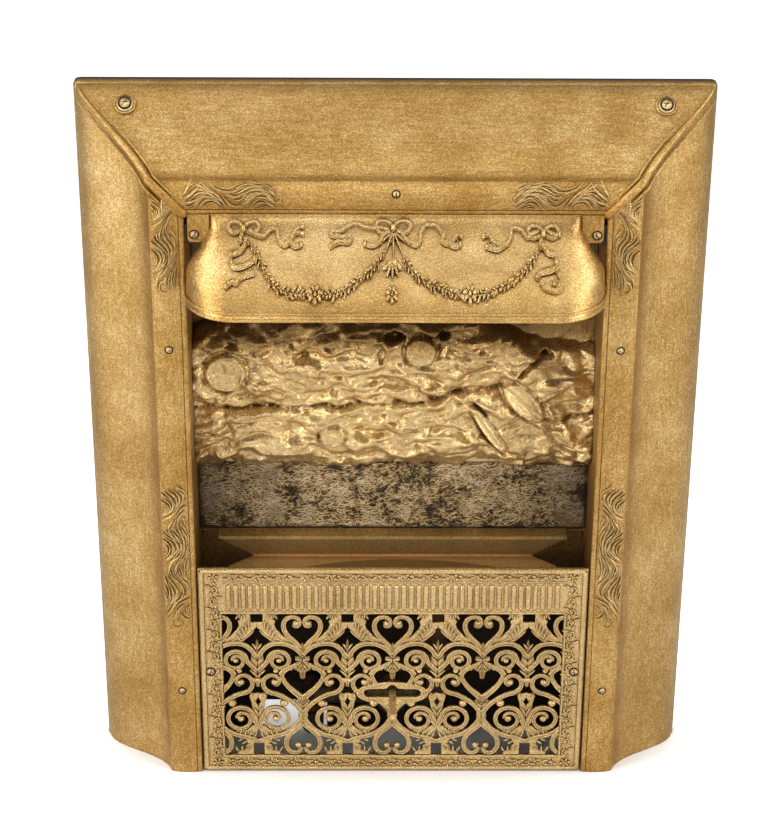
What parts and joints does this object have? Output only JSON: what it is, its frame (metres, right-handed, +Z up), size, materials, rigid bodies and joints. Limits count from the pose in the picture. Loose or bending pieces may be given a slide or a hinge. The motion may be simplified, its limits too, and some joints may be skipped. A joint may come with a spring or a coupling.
{
  "type": "gas fireplace insert",
  "caption": "Gas fireplace insert: splayed gold surround with a flared hood, imitation logs, fibre radiant, burner, openwork scroll grille and a lever-turned gas cock.",
  "frame": {"origin": "on the wall plane, at the middle of the insert's bottom edge", "axes": "+X to the right seen from the front, +Y into the wall, +Z up"},
  "size_m": [0.635, 0.16, 0.762],
  "materials": {
    "panel_gold": "bronze paint, brushed, worn",
    "hood_gold": "bronze paint on a pebbled surface",
    "log_gold": "bronze paint on rough cast iron",
    "grille_gold": "bronze paint on a casting",
    "burner_gold": "bronze paint, dark with heat",
    "lever_gold": "bronze paint, worn",
    "dark_iron": "dark oxide",
    "rusty_iron": "rusty, with old bronze paint",
    "old_brass": "dull",
    "green_brass": "verdigris",
    "fibre": "mineral fibre, soot and rust stained"
  },
  "bodies": {
    "insert": {"top_panel": "panel_gold", "left_panel": "panel_gold", "right_panel": "panel_gold", "corner_brackets": "dark_iron", "corner_washers": "panel_gold", "corner_screws": "panel_gold", "corner_nuts": "dark_iron", "moulding_screws": "panel_gold", "back_plate": "dark_iron", "left_cheek": "rusty_iron", "right_cheek": "rusty_iron", "top_plate": "dark_iron", "shell_rivets": "dark_iron", "hood": "hood_gold", "hood_brackets": "dark_iron", "hood_screws": "panel_gold", "log_fireback": "log_gold", "fireback_bolts": "dark_iron", "fibre_strip": "fibre", "fibre_tray": "dark_iron", "tray_rivets": "dark_iron", "burner_body": "burner_gold", "burner_top": "burner_gold", "burner_screws": "dark_iron", "mixer_tube": "rusty_iron", "gas_spud": "old_brass", "outlet_elbow": "dark_iron", "outlet_nipple": "dark_iron", "cock_body": "green_brass", "supply_pipe": "dark_iron", "supply_elbow": "dark_iron", "pipe_clip": "dark_iron", "clip_screws": "dark_iron", "grille": "grille_gold", "grille_brackets": "dark_iron", "grille_screws": "panel_gold", "bracket_rivets": "dark_iron"},
    "lever_set": {"lever": "lever_gold", "cock_plug": "old_brass", "plug_washer": "old_brass", "plug_nut": "old_brass", "lever_screw": "old_brass"},
    "shutter": {"air_shutter": "old_brass"}
  },
  "joints": [
    {"name": "lever_turn", "type": "hinge", "parent": "insert", "child": "lever_set", "pos_m": [0, -0.061, 0.1], "axis": [0, 0, 1], "range_deg": [-45, 45]},
    {"name": "shutter_turn", "type": "hinge", "parent": "insert", "child": "shutter", "pos_m": [0.048, -0.061, 0.13], "axis": [0, 0, 1], "range_deg": [0, 45]}
  ]
}
